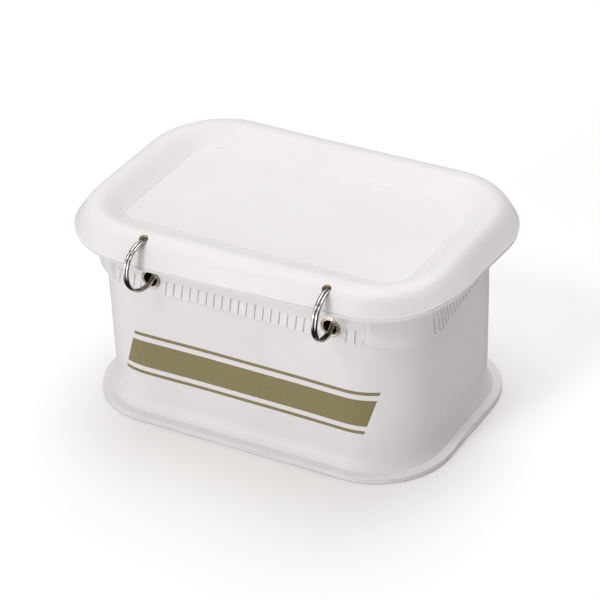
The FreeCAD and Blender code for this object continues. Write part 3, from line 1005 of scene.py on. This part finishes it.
def makeCover():
    loop = Loop(lidCoreX, lidCoreY, lidShape["cornerR"], lidShape["step"])
    sway = loop.ripple(**lidShape["sway"])
    lift = loop.ripple(**lidShape["lift"])
    curl = lidCurl(loop)
    ease = lidShape["edge"]
    sharp, soft = (squareCorner(loop, panelR, r) for r in lidShape["panelCornerR"].values())
    corner = np.where((loop.share < 0).all(axis=1), sharp, soft)
    for way, further in zip(((1, 0), (0, 1), (-1, 0), (0, -1)), lidShape["panelIn"].values()):
        corner = corner - further * np.clip(loop.outward @ way, 0, 1) ** 2

    def skinRow(r, z, scale=1.0):
        outer = smoothStep(r, crownR, domeR)
        high = smoothStep(z, domeZ, crownZ)
        rise = lift * high * smoothStep(r, panelR, crownR)
        inner = 1 - smoothStep(r, panelR, crownR)
        return loop.row(r + sway * outer + corner * inner, z + rise + lidRise(r, curl), scale)

    under = list(rimRows(loop, lidShape["skin"]))
    lip = easedSection([
        (domeR - lidShape["skin"], linerTop, 0),
        (lipR - lidShape["lipTuck"], linerTop, ease / 3),
        (lipR, domeZ - lidShape["lipRound"], ease),
        (domeR + lidShape["lipGap"], domeZ, 0),
    ])
    rows = [loop.row(panelR + corner, panelZ - lidShape["skin"], s) for s in lidShape["underShares"]]
    rows += [skinRow(r, z) for r, z in under[::-1]]
    rows += [skinRow(r, z) for r, z in lip]
    rows += [skinRow(r, z) for r, z in rimRows(loop, 0)]
    lines = (lidShape["crease"], lidShape["border"])
    insets = [line["in"] + line["wide"] * t for line in lines for t in line["rowShares"]]
    for inset in insets:
        far = [((inset - line["in"]) / line["wide"]) ** 2 * lidShape["lineSharp"] for line in lines]
        dip = sum(line["deep"] * math.exp(-away) for line, away in zip(lines, far))
        rows.append(loop.row(panelR + corner - inset, panelZ - dip))
    for scale in lidShape["panelShares"]:
        sag = lidShape["dish"] * smoothStep(1 - scale, 0, lidShape["dishShare"])
        rows.append(loop.row(panelR - insets[-1] + corner, panelZ - sag, scale))
    points, faces = lofted(rows, closed=False)
    places = [holePlace(side) for side in sides]
    coverWhite = whiteSheet("lidWhiteSheet", holes=[spot for spot, out in places])
    cover = addPiece("lidCover", points, faces, coverWhite, "lid", ["lid_cover"])
    cutAway(cover, [drill(spot, out, lidShape["holeR"], lidShape["holeLength"]) for spot, out in places])
    keepEdges(cover)


# Sheet under the lid, with the plug that drops into the mouth
linerShape = {
    "t": 0.0013,
    "edge": 0.0005,
    "topEdge": 0.0001,
    "edgeWide": 0.002,
    "tuck": 0.0004,
    "stay": 0.65,             # where the edge stands up, its underside keeps back a little
    "brimSteps": (0.011, 0.0067, 0.0055, 0.0045, 0.0035),
    "plugGap": 0.0005,
    "plugEase": 0.0009,
    "plugTopEase": 0.0003,
    "plugShares": (0.03, 0.3, 0.6, 0.9),
    "passageR": 0.0046,       # room for the rings
    "sway": {"seed": 41, "waves": ((3, 0.00022), (7, 0.00015))},
}
plugR = wallInR - boxShape["seam"] - hemShape["innerT"] - linerShape["plugGap"]
plugIn = plugR - linerShape["t"]
plugTop = linerLow.z + linerShape["t"]


def makeLiner():
    loop = Loop(lidCoreX, lidCoreY, lidShape["cornerR"], lidShape["step"])
    sway = loop.ripple(**linerShape["sway"])
    curl = lidCurl(loop)
    plugZ = linerLow.z
    brimZ = mouthZ
    core = (coreX, coreY)
    wide = linerShape["edgeWide"]
    shares = linerShape["plugShares"]
    rows = [loop.row(plugR, plugZ, s, core) for s in shares]
    section = easedSection([
        (plugR - wide, plugZ, 0),
        (plugR, plugZ, linerShape["plugEase"]),
        (plugR, brimZ, linerShape["plugTopEase"]),
        (plugR + wide, brimZ, 0),
    ])
    rows += [loop.row(r, z, half=core) for r, z in section]
    inward = linerShape["brimSteps"]
    brim = [(lipR - step, brimZ) for step in inward]
    brim += list(easedSection([
        (lipR - wide, brimZ, 0),
        (lipR - linerShape["tuck"], brimZ, linerShape["edge"]),
        (lipR - lidShape["lipTuck"], linerTop, linerShape["topEdge"]),
        (lipR - wide, linerTop, 0),
    ]))
    brim += [(lipR - step, linerTop) for step in inward[::-1]]
    stay = np.where(curl > 0, linerShape["stay"], 1)
    for r, z in brim:
        rise = lidRise(r, curl) * brimShare(r) * (stay + (1 - stay) * smoothStep(z, brimZ, linerTop))
        rows.append(loop.row(r + sway * smoothStep(r, lipR - wide, lipR), z + rise))
    rows += [loop.row(plugIn, linerTop, half=core), loop.row(plugIn, plugTop, half=core)]
    rows += [loop.row(plugIn, plugTop, s, core) for s in shares[::-1]]
    points, faces = lofted(rows, closed=False)
    liner = addPiece("lidLiner", points, faces, sheetWhite, "lid", ["lid_liner"])
    cutAway(liner, [torusCutter(side, linerShape["passageR"]) for side in sides])
    keepEdges(liner)


# Foam that fills the lid
foamShape = {
    "gap": 0.0002,
    "step": 0.003,
    "brim": 0.004,
    "brimRows": 5,
    "shares": (0.05, 0.5),
    "passageR": 0.0028,       # room for the rings
}


def makeFoam():
    loop = Loop(lidCoreX, lidCoreY, lidShape["cornerR"], foamShape["step"])
    gap = foamShape["gap"]
    baseZ = linerTop + gap
    fillR, fillZ = plugIn - gap, plugTop + gap
    core = (coreX, coreY)
    shares = foamShape["shares"]
    rows = [loop.row(fillR, fillZ, s, core) for s in shares]
    rows += [loop.row(fillR, fillZ, half=core), loop.row(fillR, baseZ, half=core)]
    depth = lidShape["skin"] + 2 * gap
    curve = list(rimRows(loop, depth))
    curl = lidCurl(loop)
    foot = domeR - depth
    for r in np.linspace(foot - foamShape["brim"], foot, foamShape["brimRows"]):
        rows.append(loop.row(r, baseZ + lidRise(r, curl) * brimShare(r)))
    rows += [loop.row(r, z + lidRise(r, curl)) for r, z in curve]
    rows += [loop.row(*curve[-1], s) for s in shares[::-1]]
    points, faces = lofted(rows, closed=False)
    foam = addPiece("lidFoam", points, faces, lidFoam, "lid", ["lid_core"])
    cutAway(foam, [torusCutter(side, foamShape["passageR"]) for side in sides])


# Split rings: two turns of one wire, with a step between them
ringShape = {
    "wire": 0.0012,
    "turnGap": 0.00042,
    "widen": 1.33,            # across the ring the wire is a little flattened
    "stepDeg": 13.0,
    "seam": 0.00012,
    "endDeg": {"left": 50.0, "right": 289.0},
    "endShare": 0.75,         # the cut ends are eased down to this
    "endEaseDeg": 0.8,
    "endLimit": 0.002,
    "bodyDeg": 1.0,           # the plain wire starts this far past the step
    "perTurn": 180,
    "round": 20,
    "keep": 50,
}


def makeRing(side):
    radius = ringRadius(side)
    half = (ringShape["wire"] + ringShape["turnGap"]) / 2
    start = ringShape["endDeg"][side]
    step = ringShape["stepDeg"]
    axis = ringAxes[side]
    upright = (Vector((0, 0, 1)) - axis * axis.z).normalized()
    forward = upright.cross(axis).normalized()
    if forward.y > 0:
        forward = -forward
    lap = np.linspace(0, 2 * math.pi, ringShape["round"], endpoint=False)
    across = np.cos(lap) * ringShape["wire"] / 2 * ringShape["widen"]
    tall = np.sin(lap) * ringShape["wire"] / 2

    def section(angle, scale=1.0):
        # one lap round the wire; the angle may differ over the lap
        place = 2 * smoothStep(np.mean(angle), start + 360, start + step + 360) - 1
        turn = np.radians(np.broadcast_to(angle, len(lap)))
        radial = np.outer(np.cos(turn), forward) + np.outer(np.sin(turn), upright)
        flat = np.outer(place * half + across * scale, axis)
        return np.array(ringCentres[side]) + radial * (radius + tall * scale)[:, None] + flat

    def slant(past):
        # angle at which the stepping wire has gone that far across
        share = np.clip(past / (2 * half), ringShape["endLimit"], 1 - ringShape["endLimit"])
        return step * (0.5 - np.sin(np.arcsin(1 - 2 * share) / 3))

    # both ends are cut along the stepping wire, so that only a thin seam is left
    wide = across.max() + ringShape["seam"]
    end = start + 2 * 360
    ease, small = ringShape["endEaseDeg"], ringShape["endShare"]
    first, last = start + slant(across + wide), end + slant(across + 2 * half - wide)
    body = ringShape["bodyDeg"]
    angles = np.linspace(start + step + body, end - body, 2 * ringShape["perTurn"])
    rows = [section(first, small), section(first + ease)]
    rows += [section(angle) for angle in angles]
    rows += [section(last - ease), section(last, small)]
    points, faces = lofted(rows, closed=False)
    name = "splitRing" + side.capitalize()
    ring = addPiece(name, points, faces, ringSteel, "ring_" + side, ["ring_" + side])
    keepEdges(ring, ringShape["keep"])


# Eyelets: two beads round the hole in front, a barrel and a curl behind
eyeletShape = {
    "r": 0.0051,
    "holeR": 0.0034,
    "wall": 0.0003,
    "dome": 0.00095,
    "rim": 0.0007,
    "split": 0.45,            # share of the flange that the inner bead takes
    "groove": 0.00008,
    "beadPower": 0.8,
    "beadSteps": 12,
    "rimTuck": {"in": 0.0002, "up": 0.00005},
    "neck": {"out": 0.0004, "up": 0.00012, "down": 0.0003},
    "curlR": 0.0045,
    "curlH": 0.0005,
    "curlSteps": 10,
    "round": 72,
    "keep": 50,
}
barrelR = eyeletShape["holeR"] + eyeletShape["wall"]


def eyeletBeads():
    # from the hole outward: an inner and an outer bead with a fine groove between them
    hole, rimR = eyeletShape["holeR"], eyeletShape["r"]
    split = hole + (rimR - hole) * eyeletShape["split"]
    for first, last, height in ((hole, split, eyeletShape["dome"]), (split, rimR, eyeletShape["rim"])):
        outer = last > split
        for t in np.linspace(0, math.pi, eyeletShape["beadSteps"], endpoint=outer):
            nearSplit = (t <= math.pi / 2) == outer
            floor = eyeletShape["groove"] * abs(math.cos(t)) if nearSplit else 0
            r = first + (last - first) / 2 * (1 - math.cos(t))
            yield r, max(floor, height * math.sin(t) ** eyeletShape["beadPower"])


def makeEyelet(side):
    low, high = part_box("eyelet_" + side)
    hemY = low.y + eyeletShape["dome"]
    depth = high.y - hemY - eyeletShape["curlH"]
    hole, curlR = eyeletShape["holeR"], eyeletShape["curlR"]
    tuck, neck = eyeletShape["rimTuck"], eyeletShape["neck"]
    profile = list(eyeletBeads())
    profile += [(eyeletShape["r"] - tuck["in"], tuck["up"]), (barrelR + neck["out"], neck["up"])]
    profile += [(barrelR, -neck["down"]), (barrelR, -depth)]
    for t in np.linspace(0, math.pi, eyeletShape["curlSteps"]):
        r = (hole + curlR) / 2 + (curlR - hole) / 2 * math.cos(t)
        profile.append((r, -depth - eyeletShape["curlH"] * math.sin(t)))
    profile.append((hole, -depth / 2))
    centre = ((low.x + high.x) / 2, hemY, (low.z + high.z) / 2)
    points, faces = turned(profile, centre, (0, -1, 0), eyeletShape["round"])
    name = "eyelet" + side.capitalize()
    eyelet = addPiece(name, points, faces, eyeletNickel, "box", ["eyelet_" + side])
    keepEdges(eyelet, eyeletShape["keep"])


# Washers that the eyelets are curled over, inside the box
washerShape = {"gap": 0.00005, "edge": 0.0001, "bevel": 0.00015}


def makeWasher(side):
    low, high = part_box("washer_" + side)
    r, thick = (high.x - low.x) / 2, high.y - low.y
    inner = barrelR + washerShape["gap"]
    edge, bevel = washerShape["edge"], washerShape["bevel"]
    profile = [(inner, 0), (r - edge, 0), (r, edge), (r, thick - edge), (r - edge, thick)]
    profile += [(inner + bevel, thick), (inner, thick - bevel)]
    centre = (eyelets[side].x, low.y, eyelets[side].z)
    points, faces = turned(profile, centre, (0, 1, 0), eyeletShape["round"])
    name = "washer" + side.capitalize()
    washer = addPiece(name, points, faces, eyeletNickel, "box", ["washer_" + side])
    keepEdges(washer, eyeletShape["keep"])


makeFloor()
makeWall()
makeHem()
makeStrip()
print("box made")
makeCover()
makeLiner()
makeFoam()
print("lid made")
for side in sides:
    makeRing(side)
    makeEyelet(side)
    makeWasher(side)
print("rings and eyelets made")
stiffener = frame["nodes"]["mouth_frame"].data   # shown as it is, inside the hem
stiffener.materials.clear()
stiffener.materials.append(hemStiffener)


# Floor, light and camera
studio = {
    "floorHalf": 6.0,
    "floor": (0.93, 0.93, 0.93, 1),
    "floorShine": 0.1,
    "floorRough": {"base": 0.7, "more": 0.2, "scale": 40.0},
    "floorDrop": 0.0002,
    "air": (1.0, 0.985, 0.965, 1),
    "airStrength": 0.58,
    "airRight": {"less": 0.76, "edge": (0.0, 0.55)},
    "airFront": {"more": -0.55, "edge": (0.0, 0.8)},
    "airBack": {"low": -0.8, "high": 1.6, "edge": (0.0, 0.6), "rise": (0.2, 0.65)},
    "gloss": {"low": 0.03, "strip": 2.1, "stripFrom": (-0.62, -0.78), "stripEdge": (0.68, 0.94),
              "top": 0.9, "topEdge": (0.6, 0.96)},
    "airSeen": 1.05,
    "keys": {
        "topLight": {"from": (0.1, 0.06, 1.0), "spread": 50.0, "power": 1.1, "colour": (1, 1, 1)},
        "frontLight": {"from": (-0.34, -1.0, 0.24), "spread": 14.0, "power": 0.74, "colour": (1, 0.99, 1)},
        "frontTop": {"from": (-0.2, -0.62, 0.75), "spread": 16.0, "power": 0.52, "colour": (1, 0.99, 1)},
        "backTop": {"from": (-0.1, 0.62, 0.75), "spread": 40.0, "power": 0.52, "colour": (1, 1, 1)},
        "rightFill": {"from": (0.8, -0.35, 0.5), "spread": 60.0, "power": 0.25, "colour": (1, 0.84, 0.7)},
    },
    "target": (0.0, 0.0, 0.05),
}


def makeFloorPlane():
    half = studio["floorHalf"]
    mesh = bpy.data.meshes.new("studioFloor")
    corners = [(-half, -half, 0), (half, -half, 0), (half, half, 0), (-half, half, 0)]
    mesh.from_pydata(corners, [], [(0, 1, 2, 3)])
    ground = bpy.data.objects.new("studioFloor", mesh)
    bpy.context.scene.collection.objects.link(ground)
    constants = {"Base Color": studio["floor"], "Specular IOR Level": studio["floorShine"]}
    finish = Finish("studioFloor", constants)
    rough = studio["floorRough"]
    uneven = finish.noise(rough["scale"]) * rough["more"]
    mesh.materials.append(finish.feed(Roughness=rough["base"] + uneven))
    ground.location.z = -studio["floorDrop"]
    ground.visible_glossy = False
    ground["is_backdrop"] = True


def makeKeys():
    # a broad light from above, lower ones in front and behind, and a weak warm one at the right
    for name, values in studio["keys"].items():
        lamp = bpy.data.lights.new(name, "SUN")
        lamp.angle = math.radians(values["spread"])
        lamp.energy = values["power"]
        lamp.color = values["colour"]
        light = bpy.data.objects.new(name, lamp)
        light.rotation_mode = "QUATERNION"
        light.rotation_quaternion = (-Vector(values["from"])).to_track_quat("-Z", "Y")
        bpy.context.scene.collection.objects.link(light)


def makeAir():
    world = bpy.data.worlds.new("studioAir")
    world.use_nodes = True
    tree = world.node_tree
    air = tree.nodes["Background"]
    air.inputs["Color"].default_value = studio["air"]
    path = addNode(tree, "ShaderNodeLightPath", {}, {})
    seen, glossy = path[0], path[3]
    x, y, z = addNode(tree, "ShaderNodeTexCoord", {}, {})[0].axes()
    right, front, back = studio["airRight"], studio["airFront"], studio["airBack"]
    dark = 1 - right["less"] * x.ramp(*right["edge"])
    behind = back["low"] + back["high"] * z.ramp(*back["rise"])
    depth = 1 + front["more"] * (0 - y).ramp(*front["edge"]) + behind * y.ramp(*back["edge"])
    plain = studio["airStrength"] * dark * depth
    # what shines in the metal: a bright strip at the front left, a bright ceiling, the rest dark
    gloss = studio["gloss"]
    stripX, stripY = gloss["stripFrom"]
    strip = (x * stripX + y * stripY).ramp(*gloss["stripEdge"])
    shine = gloss["low"] + gloss["strip"] * strip + gloss["top"] * z.ramp(*gloss["topEdge"])
    strength = plain * (1 - seen - glossy) + seen * studio["airSeen"] + glossy * shine
    plug(strength, air.inputs["Strength"])
    bpy.context.scene.world = world


# Camera at the photograph's place: angles in degrees, pixels of a 600 by 600 frame
shot = {
    "azimuth": 29.82,
    "elevation": 31.86,
    "roll": -2.04,
    "distance": 1.35676,
    "focalPixels": 2831.49,
    "centrePixel": (298.7, 296.8),
    "frame": 600,
    "sensor": 36.0,
    "near": 0.01,
}


def makeCamera():
    azimuth, elevation, roll = (math.radians(shot[k]) for k in ("azimuth", "elevation", "roll"))
    level = math.cos(elevation)
    back = Vector((math.sin(azimuth) * level, -math.cos(azimuth) * level, math.sin(elevation)))
    right = Vector((math.cos(azimuth), math.sin(azimuth), 0))
    upward = back.cross(right)
    across = right * math.cos(roll) + upward * math.sin(roll)
    upright = upward * math.cos(roll) - right * math.sin(roll)
    lens = bpy.data.cameras.new("camera")
    lens.sensor_width = shot["sensor"]
    lens.lens = shot["focalPixels"] / shot["frame"] * shot["sensor"]
    lens.shift_x = 0.5 - shot["centrePixel"][0] / shot["frame"]
    lens.shift_y = shot["centrePixel"][1] / shot["frame"] - 0.5
    lens.clip_start = shot["near"]
    camera = bpy.data.objects.new("camera", lens)
    turn = Matrix((across, upright, back)).transposed()
    place = Vector(studio["target"]) + back * shot["distance"]
    camera.matrix_world = Matrix.Translation(place) @ turn.to_4x4()
    bpy.context.scene.collection.objects.link(camera)
    bpy.context.scene.camera = camera


makeFloorPlane()
makeKeys()
makeAir()
makeCamera()
bpy.context.scene.view_settings.view_transform = "Standard"
print("studio made")

low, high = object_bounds()
